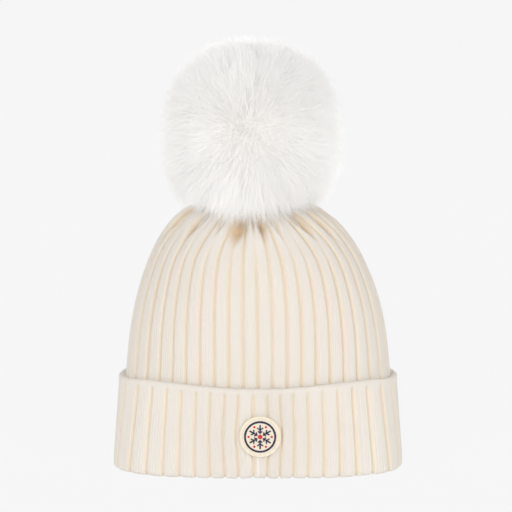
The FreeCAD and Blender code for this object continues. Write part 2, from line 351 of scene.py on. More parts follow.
def knit_material():
    """Columns of V-shaped stitches over the ribs, with painted shade down in the grooves, between the
    stitches and in the folds, and painted light near the ball.
    """
    n = Nodes("knit")
    uv = n.add("ShaderNodeUVMap", uv_map="stitch").outputs[0]
    split = n.add("ShaderNodeSeparateXYZ")
    n.feed(split.inputs[0], uv)
    across = n.math("FRACT", split.outputs[0])
    from_middle = n.math("ABSOLUTE", n.math("SUBTRACT", across, 0.5))
    slant = n.math("MULTIPLY_ADD", from_middle, -1.5, split.outputs[1])
    along = n.math("SUBTRACT", n.math("FRACT", slant), 0.5)
    leg = n.math("SUBTRACT", 1.0, n.math("MULTIPLY", n.math("MULTIPLY", along, along), 4.0))
    wale = n.math("SINE", n.math("MULTIPLY", from_middle, 2 * math.pi))
    height = n.math("MULTIPLY", leg, n.math("POWER", wale, 0.6))
    fuzz = n.noise(2600.0, 4.0, 0.7)
    # Painted shade: darker and warmer the deeper in a groove a point lies.
    depth = n.math("POWER", n.attribute("depth"), 0.8)
    # Painted shade in the folds under the pompom.
    fold = n.attribute("fold")
    patch = n.noise(26.0, 3.0)
    light = n.blend(n.math("MULTIPLY", patch, 0.5), KNIT_LIGHT, KNIT_PATCH)
    # Painted light near the ball, which lifts the shadow the ball casts on the knit.
    light = n.blend(n.attribute("painted_light"), light, KNIT_PAINTED_LIGHT)
    knit = n.blend(depth, light, KNIT_GROOVE_SHADE)
    knit = n.blend(fold, knit, KNIT_FOLD_SHADE)
    # Painted shade in the hollows between the stitches.
    between = n.math("SUBTRACT", 1.0, height)
    knit = n.blend(n.math("MULTIPLY", between, 0.55), knit, KNIT_STITCH_SHADE)
    stitches = n.bump(height, 0.0004, 0.9)
    return n.set(
        Base_Color=knit,
        Roughness=0.9,
        Sheen_Weight=0.25,
        Sheen_Roughness=0.5,
        Specular_IOR_Level=0.2,
        Normal=n.bump(fuzz, 0.0001, 0.5, under=stitches),
    )


def fibrous(name, low, high, tones, fibres, bump, roughness, sheen, specular):
    """Two near tones mixed by one noise, under fibres raised by a finer one."""
    n = Nodes(name)
    return n.set(
        Base_Color=n.blend(n.noise(*tones), low, high),
        Roughness=roughness,
        Sheen_Weight=sheen,
        Specular_IOR_Level=specular,
        Normal=n.bump(n.noise(*fibres), *bump),
    )


def felt_material(name, low, high):
    """Matted wool: soft mottling and short crossed fibres."""
    return fibrous(name, low, high, (230.0, 3.0), (1900.0, 5.0, 0.75), (0.0003, 0.6), 0.95, 0.3, 0.15)


def thread_material(name, low, high, roughness=0.55):
    """Shiny rayon or plain yarn: streaks of two near tones and fine twist."""
    return fibrous(name, low, high, (900.0, 2.0), (4200.0, 2.0, 0.6), (0.00008, 0.5), roughness, 0.15, 0.4)


def fluff_material(name, low, high):
    """Dense underfur or fibre filling: fine streaks and soft clumps."""
    return fibrous(name, low, high, (160.0, 4.0, 0.6), (1500.0, 5.0, 0.8), (0.0006, 0.8), 1.0, 0.4, 0.1)


def satin_material():
    """Woven label: fine crossing threads with a soft shine along them."""
    n = Nodes("label_satin")
    split = n.add("ShaderNodeSeparateXYZ")
    n.feed(split.inputs[0], n.place())
    warp = n.math("SINE", n.math("MULTIPLY", split.outputs[0], 2 * math.pi / 0.0004))
    weft = n.math("SINE", n.math("MULTIPLY", split.outputs[2], 2 * math.pi / 0.0005))
    weave = n.math("MULTIPLY_ADD", warp, 0.35, weft)
    tone = n.blend(n.noise(320.0), colour(0.86, 0.85, 0.83), colour(0.94, 0.93, 0.91))
    return n.set(Base_Color=tone, Roughness=0.45, Sheen_Weight=0.2, Normal=n.bump(weave, 0.00005, 0.6))


def brass_material():
    """Stamped brass with light scratches and duller patches."""
    n = Nodes("snap_brass_worn")
    patches = n.noise(420.0, 4.0)
    scratches = n.noise(3800.0, 2.0, 0.8)
    tone = n.blend(patches, colour(0.72, 0.55, 0.28), colour(0.86, 0.70, 0.42))
    rough = n.math("MULTIPLY_ADD", patches, 0.25, 0.2)
    return n.set(Base_Color=tone, Metallic=1.0, Roughness=rough, Normal=n.bump(scratches, 0.00002, 0.4))


def plastic_material():
    """Moulded plastic with a fine matt grain."""
    n = Nodes("disc_plastic")
    grain = n.noise(3000.0, 2.0)
    tone = n.blend(n.noise(150.0), colour(0.80, 0.79, 0.75), colour(0.87, 0.86, 0.82))
    return n.set(Base_Color=tone, Roughness=0.5, Normal=n.bump(grain, 0.00003, 0.5))


def hair_materials():
    """Tones of the hairs. Each hair is one tone, as a single hair is; the mix makes the pattern."""
    tones = [(0.969, 0.964, 0.955), (0.949, 0.937, 0.917), (0.977, 0.976, 0.972)]
    made = []
    for i, tone in enumerate(tones):
        n = Nodes("hair_%d" % i)
        made.append(n.set(
            Base_Color=colour(*tone),
            Roughness=0.7,
            Specular_IOR_Level=0.25,
        ))
    return made


# ---- rib knit -----------------------------------------------------------
def squared(values, power):
    """A cosine or sine turned into that of an oval of some power."""
    return np.sign(values) * np.abs(values) ** (2 / power)


def oval_angles(widths, depths, power, share):
    """Angles round ovals at shares of their edges' lengths, from the middle of the back."""
    fine = np.linspace(0, 2 * np.pi, 4 * 360 + 1) + 0.5 * math.pi
    across = np.diff(widths * squared(np.cos(fine), power))
    along = np.diff(depths * squared(np.sin(fine), power))
    lengths = np.pad(np.cumsum(np.hypot(across, along), 1), ((0, 0), (1, 0)))
    return np.stack([np.interp(at * length[-1], length, fine) for at, length in zip(share, lengths)])


def rib_shape(turns, pitch):
    """How far the knit lies under the tops of its ribs, and how deep in a groove it is, 0 to 1."""
    share = turns % 1.0
    from_groove = np.minimum(share, 1 - share) * pitch
    width = np.minimum(GROOVE_WIDTH, 0.17 * pitch)
    groove = np.exp(-(from_groove / width) ** 2)
    across = np.clip((share - GROOVE_SHARE) / (1 - 2 * GROOVE_SHARE), 0, 1)
    wale = 1 - np.abs(np.sin(math.pi * WALES_PER_RIB * across))
    return GROOVE_DEPTH * groove + WALE_DEPTH * wale * (1 - groove), groove


def stitch_columns(turns):
    """Stitch columns counted round the hat: each rib has its wales, and a groove counts as one."""
    share = turns % 1.0
    within = np.interp(share, [0, GROOVE_SHARE, 1 - GROOVE_SHARE, 1],
                       [-0.5, 0, WALES_PER_RIB, WALES_PER_RIB + 0.5])
    return np.floor(turns) * (WALES_PER_RIB + 1) + within


def resample(path, step):
    """Rows of a path, whose first two columns are its place, at even steps of its length."""
    length = path_lengths(path)
    count = max(2, int(round(length[-1] / step)) + 1)
    at = np.linspace(0, length[-1], count)
    return np.stack([np.interp(at, length, column) for column in path.T], 1)


def path_lengths(path):
    return np.concatenate([[0], np.cumsum(np.hypot(*np.diff(path[:, :2], axis=0).T))])


def wander(rng, size):
    """A smooth closed random curve round the hat, one value for each column."""
    angle = round_angles(KNIT_COLUMNS)
    total = np.zeros(KNIT_COLUMNS)
    for k in range(2, 12):
        total += rng.normal() * np.cos(k * angle + rng.uniform(0, 2 * np.pi)) / k
    return size * total / np.abs(total).max()


def each_rib(rng, size):
    """A random value for each rib, repeated over its columns."""
    return np.repeat(rng.uniform(-size, size, RIBS), COLUMNS_PER_RIB)[None, :]


def weaker_grooves(rng, turns, most):
    """How much each groove is closed up, at the columns round it."""
    return rng.uniform(0, most, RIBS)[np.round(turns).astype(int) % RIBS]


def slope_normals(path, closed):
    """Outward and upward parts of the normal along a path that goes up the outside."""
    if closed:
        dx, dz = (np.roll(path[:, :2], -1, axis=0) - np.roll(path[:, :2], 1, axis=0)).T
    else:
        dx, dz = np.gradient(path[:, 0]), np.gradient(path[:, 1])
    length = np.hypot(dx, dz) + 1e-9
    return np.stack([dz / length, -dx / length])[..., None]


def knit_ring(name, rows, normals, drops, turns, groove, fold, spread, lift):
    """A closed loop of oval rows (half width, height, half depth, middle), each moved in by its drop.

    Each row has its spread, which draws the ribs apart at the front and back and together at the
    sides, and its lift, by which it stands higher at the sides.
    """
    widths, heights, depths, middles = rows.T[..., None]
    power = np.interp(heights, *np.array(OVAL_POWER).T)
    share = np.arange(KNIT_COLUMNS) / KNIT_COLUMNS
    share = share + spread[:, None] * np.sin(4 * math.pi * share) / (4 * math.pi)
    angles = oval_angles(widths, depths, power, share)
    cos, sin = np.cos(angles), np.sin(angles)
    out, up = normals
    dual = power / (power - 1)
    plan = np.stack([squared(cos, dual) / widths, squared(sin, dual) / depths])
    plan /= np.linalg.norm(plan, axis=0)
    x = middles + widths * squared(cos, power) - plan[0] * out * drops
    y = depths * squared(sin, power) - plan[1] * out * drops
    aside = np.abs(squared(cos, power))
    lifted = lift[:, None] * smoothstep(0.1, 0.7, aside)
    z = heights - up * drops + lifted * (1 - 0.9 * smoothstep(0.8, 1, aside))
    faces = grid_faces(len(rows), KNIT_COLUMNS, close_rows=True)
    piece = make_mesh(name, np.stack([x, y, z], -1), faces, [knit])
    ring_turns = np.concatenate([turns, turns[:, :1] + RIBS], 1)
    u = stitch_columns(np.concatenate([ring_turns, ring_turns[:1]]))
    v = path_lengths(np.concatenate([rows, rows[:1]]))[:, None] / COURSE + 0 * u
    grid_uv(piece.data, "stitch", u, v)
    # How far each point is from the ball, for the painted light near it.
    from_ball = np.linalg.norm(np.stack([x, y, z], -1) - FUR_CENTRE, axis=-1) - FUR_R
    # Painted shade in the grooves, from how deep in a groove each point is.
    point_values(piece.data, "depth", groove)
    # Painted shade in the folds.
    point_values(piece.data, "fold", fold)
    point_values(piece.data, "painted_light", smoothstep(*PAINTED_LIGHT_REACH, from_ball))
    return piece


def crown_rows():
    """Ovals up the outside of the crown and in to the gathered hole."""
    low = crown_low[2]
    heights = np.concatenate([
        np.linspace(low + 1.0, CUFF_TOP + 20, 14),
        np.linspace(CUFF_TOP + 24, CROWN_TOP - 22, 22),
        CROWN_TOP - np.geomspace(20, 0.15, 18),
    ])
    middle, width, depth = ovals_of("knit_crown", heights)
    path = np.stack([width, heights, depth, middle], 1)
    shown_from = CUFF_TOP - 4
    hidden = resample(path[path[:, 1] < shown_from], HIDDEN_STEP)
    shown = resample(path[path[:, 1] >= shown_from], ROW_STEP)
    hole = np.array([GATHER_R, CROWN_TOP - 1.2, GATHER_R, AXIS_X])
    steps = np.linspace(0, 1, 9)[1:, None]
    top = shown[-1] + (hole - shown[-1]) * steps
    top[:, 1] += np.sin(steps[:, 0] * math.pi)
    return np.concatenate([hidden, shown, top])


def lining_rows(outside, normals):
    """The inside of the crown, one layer in from some of the rows of the outside."""
    lining = outside[::-1][::LINING_SHARE].copy()
    out, up = normals[:, ::-1][:, ::LINING_SHARE, 0]
    lining[:, 0] = np.maximum(lining[:, 0] - WALL * out, GATHER_R + 0.4)
    lining[:, 2] = np.maximum(lining[:, 2] - WALL * out, GATHER_R + 0.4)
    lining[:, 1] -= WALL * up
    return lining, normals[:, ::-1][:, ::LINING_SHARE]


def drawn_in(turns, widths, heights):
    """Depth of the folds that run out from under the pompom."""
    inward = smoothstep(9, 24, widths)
    fold = np.zeros_like(turns)
    for ribs, depth, width, low in FOLDS:
        away = (turns - ribs) % RIBS - RIBS / 2
        rise = np.clip((heights - low) / 16, 0, 1)
        reach = width * (0.12 + 0.88 * rise)
        fold = np.maximum(fold, depth * np.exp(-(away / reach) ** 2) * rise ** 1.3)
    return fold * inward


def crown():
    """Tube and crown as one closed skin."""
    rng = np.random.default_rng(SEED)
    outside = crown_rows()
    normals = slope_normals(outside, closed=False)
    lining, lining_normals = lining_rows(outside, normals)
    rows = np.concatenate([outside, lining])
    inner = (np.arange(len(rows)) >= len(outside))[:, None] * 1.0
    widths, heights, depths = rows[:, :1], rows[:, 1:2], rows[:, 2:3]
    turns = np.arange(KNIT_COLUMNS) / COLUMNS_PER_RIB + wander(rng, UNEVEN) + 0 * widths
    edge = math.pi * (3 * (widths + depths) - np.sqrt((3 * widths + depths) * (widths + 3 * depths)))
    drop, groove = rib_shape(turns, edge / RIBS)
    over = np.concatenate([outside, outside[::-1][::LINING_SHARE]])
    fold = drawn_in(turns, over[:, :1], over[:, 1:2])
    rise = smoothstep(160, CROWN_TOP - 2, heights)
    fades = (rng.uniform(0, 1, RIBS) < FADED_GROOVES) * rng.uniform(0.6, 0.95, RIBS)
    fade = fades[np.round(turns).astype(int) % RIBS] * smoothstep(142, 172, heights)
    fade = 1 - (1 - fade) * (1 - weaker_grooves(rng, turns, CROWN_VARIETY))
    drop, groove = drop * (1 - fade), groove * (1 - fade)
    uneven = each_rib(rng, 0.25) * (1 - rise) + (each_rib(rng, 0.6) + 0.6) * rise
    outer_drop = drop + fold + uneven * (1 - groove)
    inner_drop = 0.9 * groove - 0.7 + LINING_FOLDS * fold
    spread = np.interp(rows[:, 1], *np.array(RIB_SPREAD).T) * (1 - inner[:, 0])
    drops = outer_drop * (1 - inner) + inner_drop * inner
    # Painted shade in the folds, darker where they are deeper.
    fold_shade = np.clip(fold / 6, 0, 1) * (1 - inner)
    all_normals = np.concatenate([normals, lining_normals], 1)
    piece = knit_ring("knit_crown_ribs", rows, all_normals, drops, turns, groove * (1 - 0.6 * inner),
                      fold_shade, spread, 0 * spread)
    return finish_piece(piece, "hat", "knit_crown")


def cuff():
    """The turned-up layer: up inside the fold, under the hem, up the face and over the rolled rim."""
    rng = np.random.default_rng(SEED + 1)
    top = CUFF_TOP
    # Distance out from the cuff's face, height, and how strongly the ribs show.
    loop = np.array([
        (-3.4, top - 30, 0), (-3.4, 12.0, 0), (-4.4, 7.0, 0), (-6.2, 9.5, 0), (-7.2, 12.5, 0.2),
        (-7.7, 10.0, 0.4), (-7.9, 5.5, 0.5), (-7.3, 2.2, 0.6), (-6.0, 0.6, 0.7), (-4.0, 0.1, 0.8),
        (-1.9, 0.2, 0.8), (-0.6, 1.2, 1), (-0.1, 3.2, 1), (0.0, 8.0, 1), (0.0, top - 6.5, 1),
        (0.1, top - 5.2, 0.45), (0.6, top - 3.8, 0.12), (0.7, top - 2.5, 0.12), (0.3, top - 1.1, 0.12),
        (-0.8, top - 0.2, 0.1), (-2.4, top - 0.1, 0.1), (-4.2, top - 0.9, 0.1), (-5.1, top - 3.2, 0),
        (-4.0, top - 10, 0),
    ])
    path = resample(np.concatenate([loop, loop[:1]]), CUFF_ROW_STEP)[:-1]
    normals = slope_normals(path, closed=True)
    middle, width, depth = ovals_of("turn_up_cuff", np.clip(path[:, 1], 4.0, top - 4.0))
    out, heights, strength = path[:, 0], path[:, 1:2], path[:, 2:]
    over_rim = smoothstep(top - 12, top - 6, path[:, 1])
    out_aside = np.minimum(out, 0) * (1 + RIM_REACH * over_rim)
    rows = np.stack([width + out_aside, path[:, 1], depth + out, middle], 1)
    turns = np.arange(KNIT_COLUMNS) / COLUMNS_PER_RIB + 0.5 + wander(rng, UNEVEN) + 0 * strength
    # The grooves part a little round the middle of the front, and more beside the badge.
    beside_badge = np.exp(-((heights - BADGE[2]) / 17) ** 2)
    across = turns - RIBS / 2
    turns = turns - 0.08 - 0.15 * np.tanh(across / 1.2) * np.exp(-(across / 12) ** 2)
    turns = turns - 0.2 * beside_badge * np.tanh(across / 0.8) * np.exp(-(across / 3.2) ** 2)
    drop, groove = rib_shape(turns, 11.0)
    groove = groove * (1 - weaker_grooves(rng, turns, CUFF_VARIETY))
    drops = (drop + each_rib(rng, 0.3) * (1 - groove)) * strength
    spread = np.interp(rows[:, 1], (0, top), CUFF_SPREAD)
    lift = RIM_LIFT * smoothstep(top - 30, top, rows[:, 1])
    piece = knit_ring("turn_up_cuff_ribs", rows, normals, drops, turns, groove * strength, 0 * drops,
                      spread, lift)
    return finish_piece(piece, "hat", "turn_up_cuff")


# ---- yarn ---------------------------------------------------------------
def square_to(path, reference):
    """Two directions square to a path.  reference is a direction that the path never takes."""
    ahead = unit(np.gradient(path, axis=0))
    side = unit(np.cross(ahead, reference))
    return side, np.cross(side, ahead)


def tube_points(path, radius, reference, sides):
    """Rings of points round a path."""
    side, up = square_to(path, reference)
    around = round_angles(sides)
    ring = side[:, None] * np.cos(around)[:, None] + up[:, None] * np.sin(around)[:, None]
    return path[:, None] + ring * np.broadcast_to(radius, len(path))[:, None, None]


def yarn_ring(centre, radius, thickness, plies=3, twists=14):
    """Twisted yarn round the pompom's axis: a closed loop of several plies."""
    count = twists * 14
    angle = round_angles(count)
    parts = []
    for ply in range(plies):
        spin = twists * angle + 2 * np.pi * ply / plies
        out = radius + 0.5 * thickness * np.cos(spin)
        path = np.stack([out * np.cos(angle), out * np.sin(angle), 0.5 * thickness * np.sin(spin)], 1)
        closed = np.concatenate([path[-1:], path, path[:1]])
        points = tube_points(closed, 0.56 * thickness, (0, 0, 1), 8)[1:-1]
        parts.append((points + centre, grid_faces(count, 8, close_rows=True)))
    return joined(parts)


def yarn_rings(low, high, yarn, radius, **twist):
    """Two rings of yarn, one at each end of a height."""
    return [yarn_ring((AXIS_X, 0, z), radius, yarn * 0.95, **twist) for z in (low + yarn, high - yarn)]


def yarn_line(path, thickness, reference, plies=2, pitch=1.6):
    """Twisted yarn along an open path, with rounded ends."""
    length = np.concatenate([[0], np.cumsum(np.linalg.norm(np.diff(path, axis=0), axis=1))])
    at = np.linspace(0, length[-1], max(8, int(length[-1] / pitch * 12)))
    line = np.stack([np.interp(at, length, column) for column in path.T], 1)
    side, up = square_to(line, reference)
    from_end = np.minimum(at, length[-1] - at) / (0.5 * thickness)
    end = np.sqrt(1 - (1 - np.clip(from_end, 0.02, 1)) ** 2)
    parts = []
    for ply in range(plies):
        spin = (2 * np.pi * (at / pitch + ply / plies))[:, None]
        wound = line + 0.27 * thickness * end[:, None] * (side * np.cos(spin) + up * np.sin(spin))
        parts.append((tube_points(wound, 0.3 * thickness * end, reference, 6), grid_faces(len(line), 6)))
    return joined(parts)


def gather_thread():
    """The doubled yarn that draws the top of the crown together."""
    low, high = box_mm("crown_gather_thread")
    yarn = (high[2] - low[2] - 1.7) / 2
    loops = yarn_rings(low[2], high[2], yarn, (high[0] - low[0]) / 2 - yarn)
    add_piece("crown_gather_yarn", loops, cream_yarn, "hat", "crown_gather_thread")


# ---- badge --------------------------------------------------------------
BORDER_R = 1.1                  # half the thickness of the overlocked border
FELT = 1.6                      # height of the felt's top over the cuff
RING_IN, RING_OUT = 10.0, 11.5
THREAD_HIGH = 0.7               # height of the satin stitch
SUNK = 0.05                     # how far the stitches sink into the felt
ARMS = 6
ARM_FROM, ARM_TO, ARM_WIDTH = 2.2, 8.8, 1.15
TWIGS = [(2.9, 2.0), (5.0, 2.7)]        # where a pair of twigs leaves its arm, and its length
TWIG_ANGLE = 55.0
DOT_AT, DOT_R, MIDDLE_R = 8.2, 0.85, 1.7
WHIP_STITCHES = 22


class OnCuff:
    """Places flat badge work, x to the right, y up and h outwards, on the curved front of the cuff."""

    def __init__(self):
        _, width, depth = ovals_of("turn_up_cuff", [BADGE[2] - 15, BADGE[2], BADGE[2] + 15])
        self.tilt = math.atan2(depth[0] - depth[2], 30.0)
        self.power = np.interp(BADGE[2], *np.array(OVAL_POWER).T)
        self.width, self.depth = width[1], depth[1]

    def __call__(self, x, y, h):
        x, y, h = np.broadcast_arrays(x, y, h)
        out = h + 0.1 - self.depth / self.power * np.abs(x / self.width) ** self.power
        side, up = math.sin(self.tilt), math.cos(self.tilt)
        depth = -self.depth - out * up + y * side
        return np.stack([BADGE[0] + x, depth, BADGE[2] + y * up + out * side], -1)


def disc_points(radius, low, high, rng, rough, rings=26, spokes=150):
    """A felt disc: closed skin of rings from the middle of the top, over the edge, to the bottom."""
    r = np.concatenate([np.linspace(0.02, 1, rings), np.linspace(1, 0.02, 10)]) * radius
    h = np.concatenate([np.full(rings, high), np.full(10, low)])
    angle = round_angles(spokes)
    h = h[:, None] + rng.normal(0, rough, (len(r), spokes)) * (r[:, None] > 0.1)
    x = r[:, None] * np.cos(angle)
    y = r[:, None] * np.sin(angle)
    return x, y, h, grid_faces(len(r), spokes)[:, ::-1]


def badge_felt(place):
    rng = np.random.default_rng(SEED + 2)
    x, y, h, faces = disc_points(BADGE_R - 1.2 * BORDER_R, 0.05, FELT, rng, 0.05)
    add_piece("badge_felt", [(place(x, y, h), faces)], cream_felt, "hat", "badge_base")


def badge_edge(place):
    """Overlocked edge: thread wound round the rim in slanting turns."""
    wraps, per_wrap, sides = 92, 8, 16
    angle = round_angles(wraps * per_wrap)[:, None]
    around = round_angles(sides)[None, :]
    ridge = np.abs(np.sin(0.5 * (wraps * angle + 1.3 * np.cos(around))))
    thick = BORDER_R * (0.86 + 0.16 * ridge)
    r = BADGE_R - BORDER_R + thick * np.cos(around)
    h = BORDER_R + thick * np.sin(around)
    faces = grid_faces(wraps * per_wrap, sides, close_rows=True)[:, ::-1]
    parts = [(place(r * np.cos(angle), r * np.sin(angle), h), faces)]
    add_piece("badge_overlocked_edge", parts, cream_yarn, "hat", "badge_border")


def satin_section(rows):
    """Across and height, each 0 to 1 in size, of a low dome of thread."""
    across = np.linspace(-1, 1, rows)
    return across, np.sqrt(np.clip(1 - across ** 4, 0, 1))


def badge_band(place):
    """Ring of satin stitch, its threads lying from the inner to the outer edge."""
    threads, per_thread, rows = 190, 6, 9
    angle = round_angles(threads * per_thread)[:, None]
    across, dome = satin_section(rows)
    ridge = np.abs(np.sin(0.5 * threads * angle))
    rng = np.random.default_rng(SEED + 3)
    ragged = np.repeat(rng.uniform(-0.12, 0.12, threads), per_thread)[:, None]
    r = (RING_IN + RING_OUT) / 2 + across * ((RING_OUT - RING_IN) / 2 + ragged * np.abs(across))
    h = FELT - SUNK + THREAD_HIGH * dome * (0.78 + 0.22 * ridge)
    faces = grid_faces(threads * per_thread, rows, close_rows=True, close_columns=False)
    parts = [(place(r * np.cos(angle), r * np.sin(angle), h), faces)]
    add_piece("badge_satin_ring", parts, navy_thread, "hat", "badge_ring")


def satin_bar(start, end, width, rng):
    """Bar of satin stitch between two points, its threads lying across it."""
    start, end = np.array(start), np.array(end)
    length = np.linalg.norm(end - start)
    threads, per_thread, rows = max(4, int(length / 0.34)), 6, 8
    count = threads * per_thread + 1
    along = np.linspace(0, 1, count)[:, None]
    across, dome = satin_section(rows)
    ragged = np.repeat(rng.uniform(-0.07, 0.07, threads), per_thread)
    ragged = np.append(ragged, ragged[-1])[:, None]
    ends = np.sqrt(np.clip(1 - (2 * along - 1) ** 10, 0, 1))
    half = (width / 2 + ragged) * (0.75 + 0.25 * ends)
    ahead = (end - start) / length
    aside = np.array([-ahead[1], ahead[0]])
    x = start[0] + ahead[0] * length * along + aside[0] * half * across
    y = start[1] + ahead[1] * length * along + aside[1] * half * across
    ridge = np.abs(np.sin(math.pi * threads * along))
    h = FELT - SUNK + THREAD_HIGH * dome * ends * (0.75 + 0.25 * ridge)
    return x, y, h, grid_faces(count, rows, close_columns=False)


def badge_flake(place):
    """A plain six-armed snowflake in satin stitch."""
    rng = np.random.default_rng(SEED + 4)
    parts = []
    for i in range(ARMS):
        turn = math.radians(90 + 360 * i / ARMS)
        cos, sin = math.cos(turn), math.sin(turn)
        lines = [((ARM_FROM, 0), (ARM_TO, 0), ARM_WIDTH)]
        for at, length in TWIGS:
            for side in (-1, 1):
                slant = math.radians(side * TWIG_ANGLE)
                tip = (at + length * math.cos(slant), length * math.sin(slant))
                lines.append(((at, 0), tip, 0.8 * ARM_WIDTH))
        for start, end, width in lines:
            ends = [(cos * px - sin * py, sin * px + cos * py) for px, py in (start, end)]
            x, y, h, faces = satin_bar(ends[0], ends[1], width, rng)
            parts.append((place(x, y, h), faces))
    add_piece("badge_flake", parts, navy_thread, "hat", "badge_motif_navy")


def badge_dots(place):
    """Round dots of satin stitch, all their threads lying the same way."""
    parts = []
    spots = [(0.0, 0.0, MIDDLE_R)]
    for i in range(ARMS):
        turn = math.radians(60 + 360 * i / ARMS)
        spots.append((DOT_AT * math.cos(turn), DOT_AT * math.sin(turn), DOT_R))
    for x0, y0, radius in spots:
        r = np.linspace(0.03, 1, 12)[:, None]
        angle = round_angles(48)[None, :]
        x, y = radius * r * np.cos(angle), radius * r * np.sin(angle)
        ridge = np.abs(np.sin(math.pi * y / 0.36))
        dome = np.sqrt(np.clip(1 - r ** 4, 0, 1))
        h = FELT - SUNK + (THREAD_HIGH + 0.1) * dome * (0.75 + 0.25 * ridge)
        parts.append((place(x0 + x, y0 + y, h), grid_faces(12, 48)))
    add_piece("badge_dots", parts, red_thread, "hat", "badge_motif_red")


def badge_whip_stitches(place):
    """Loops of yarn over the badge's edge, down into the knit on both sides."""
    rng = np.random.default_rng(SEED + 5)
    parts = []
    for i in range(WHIP_STITCHES):
        turn = 2 * math.pi * (i + 0.5 + rng.uniform(-0.08, 0.08)) / WHIP_STITCHES
        sweep = np.linspace(-0.35, math.pi + 0.35, 14)
        loop = BORDER_R + 0.3
        r = BADGE_R - BORDER_R + loop * np.cos(sweep)
        h = BORDER_R + loop * np.sin(sweep)
        skew = 0.035 * (sweep / math.pi - 0.5)
        path = place(r * np.cos(turn + skew), r * np.sin(turn + skew), h)
        parts.append(yarn_line(path, 0.55, (math.sin(turn), 0, -math.cos(turn)), pitch=1.3))
    add_piece("badge_whip_stitches", parts, cream_yarn, "hat", "badge_stitches")


def badge():
    place = OnCuff()
    badge_felt(place)
    badge_edge(place)
    badge_band(place)
    badge_flake(place)
    badge_dots(place)
    badge_whip_stitches(place)


# ---- inside the hat -----------------------------------------------------
def inside_back(heights):
    """Depth of the crown's inner face at the middle of the back, at some heights."""
    surface = surface_of("knit_crown")
    depths = []
    for z in heights:
        x = AXIS_X * max(0.0, (z - CUFF_TOP) / (CROWN_TOP - CUFF_TOP)) ** 3
        origin = Vector((x, 0, z)) * MM
        depths.append(surface.ray_cast(origin, Vector((0, 1, 0)))[0].y / MM)
    return np.array(depths)


def back_seam():
    """The joined edges down the inside of the back: two rolled lips held by slanting thread."""
    low, high = box_mm("back_seam")
    z = np.linspace(low[2], high[2], 520)
    known = np.linspace(low[2] + 1, high[2] - 1, 24)
    back = np.interp(z, known, inside_back(known)) - 0.2
    x = AXIS_X * np.clip((z - CUFF_TOP) / (CROWN_TOP - CUFF_TOP), 0, 1) ** 3
    around = round_angles(20)
    end = np.sqrt(np.clip(np.minimum(z - low[2], high[2] - z) / 1.5, 0.01, 1))[:, None]
    stitch = np.sin(2 * np.pi * z[:, None] / 2.6 + 1.2 * np.cos(around))
    lips = 1 - 0.28 * np.exp(-(np.cos(around) / 0.22) ** 2) * (np.sin(around) < 0)
    across = 2.45 * end * np.cos(around) * (1 + 0.05 * stitch)
    deep = 0.85 * end * np.sin(around) * lips * (1 + 0.16 * stitch)
    points = np.stack([x[:, None] + across, back[:, None] - 0.85 + deep, z[:, None] + 0 * across], -1)
    parts = [(points, grid_faces(len(z), 20))]
    add_piece("back_seam_overlock", parts, cream_yarn, "hat", "back_seam")


def care_label():
    """A blank woven label, folded in two at its lower end and sewn in at the top."""
    low, high = box_mm("care_label")
    width, length = high[0] - low[0], high[2] - low[2]
    middle, back = (low[0] + high[0]) / 2, high[1]
    sheet, gap, bend = 0.22, 0.3, 0.25
    down = np.linspace(0, length - 0.6, 44)
    fold = np.linspace(0, math.pi, 9)[1:-1]
    front = np.stack([np.full(44, -gap - sheet), down], 1)
    round_end = np.stack([-(gap + sheet) / 2 * (1 + np.cos(fold)), length - 0.6 + bend * np.sin(fold)], 1)
    rear = np.stack([np.zeros(44), down[::-1]], 1)
    line = np.concatenate([front, round_end, rear])
    ahead = unit(np.gradient(line, axis=0))
    aside = np.stack([ahead[:, 1], -ahead[:, 0]], 1)
    skin = np.concatenate([line + aside * sheet / 2, (line - aside * sheet / 2)[::-1]])
    u = np.linspace(-1, 1, 40)[None, :]
    fall = skin[:, 1:2] / length
    curl = 0.9 * fall ** 2 * u ** 2 + 0.35 * fall * np.sin(2.2 * u + 0.6)
    selvedge = 1 - 0.006 * np.cos(skin[:, 1:2] * 5.0) * (np.abs(u) > 0.97)
    x = middle + u * width / 2 * selvedge
    y = back - sheet / 2 + skin[:, :1] - curl - 0.15
    z = high[2] - skin[:, 1:2] + 0 * u
    faces = grid_faces(len(skin), 40, close_rows=True, close_columns=False)
    sides = len(line)
    edge = []
    for column, flip in ((0, 1), (39, -1)):
        for i in range(sides - 1):
            j = 2 * sides - 1 - i
            quad = [i, i + 1, j - 1, j]
            edge.append([40 * k + column for k in quad[::flip]])
    points = np.stack([x, y, z], -1)
    piece = make_mesh("woven_care_label", points, np.concatenate([faces, edge]), [satin])
    finish_piece(piece, "label", "care_label")


def label_stitches():
    """Bar tacks from the label's head into the seam and the knit."""
    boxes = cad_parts["care_label_stitches"].data
    ends = np.array([v.co for v in boxes.vertices]) / MM
    low, high = box_mm("care_label_stitches")
    tacks, tack_width = 6, 1.6
    width = high[0] - low[0] - tack_width
    parts = []
    for i in range(tacks):
        x = low[0] + tack_width / 2 + width * i / (tacks - 1)
        near = np.abs(ends[:, 0] - x) < 1.0
        y_far = ends[near, 1].max()
        for offset in (-0.55, 0.0, 0.55):
            across = ((low[1], 0.3), ((low[1] + y_far) / 2, 0.4), (y_far, 0.3))
            path = np.array([(x + offset, y, low[2] + rise) for y, rise in across])
            parts.append(yarn_line(path, 0.6, (0, 0, 1), pitch=1.1))
    add_piece("care_label_tacks", parts, cream_yarn, "hat", "care_label_stitches")


def turned_skin(outline, spokes, ripple):
    """Skin of revolution about the pompom's axis from (radius, height) rows, moved out by ripple."""
    outline = np.asarray(outline)
    angle = round_angles(spokes)
    r = outline[:, :1] + ripple(outline, angle)
    x, y = AXIS_X + r * np.cos(angle), r * np.sin(angle)
    return np.stack([x, y, outline[:, 1:2] + 0 * r], -1)


